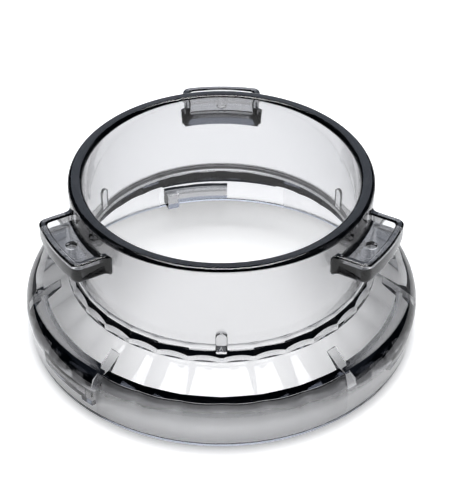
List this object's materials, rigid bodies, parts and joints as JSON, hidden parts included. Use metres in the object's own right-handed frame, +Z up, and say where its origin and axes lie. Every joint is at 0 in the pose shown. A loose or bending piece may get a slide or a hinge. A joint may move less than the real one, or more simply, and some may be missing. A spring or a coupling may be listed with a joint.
{
  "type": "espresso dosing funnel",
  "caption": "Clear moulded ring that locks on a portafilter and guides ground coffee into its basket: straight collar, cored lugs, sloped shoulder and a skirt with bayonet tabs.",
  "frame": {"origin": "centre of the skirt's foot ring, on the plane it stands on", "axes": "+Z up along the collar's axis, +Y through the middle of one lug, -Y towards the camera of the picture"},
  "size_m": [0.0836, 0.0836, 0.0365],
  "materials": {
    "clear_plastic": "polished, slightly smoky clear plastic"
  },
  "bodies": {
    "root": {"funnel_body": "clear_plastic"}
  },
  "joints": []
}
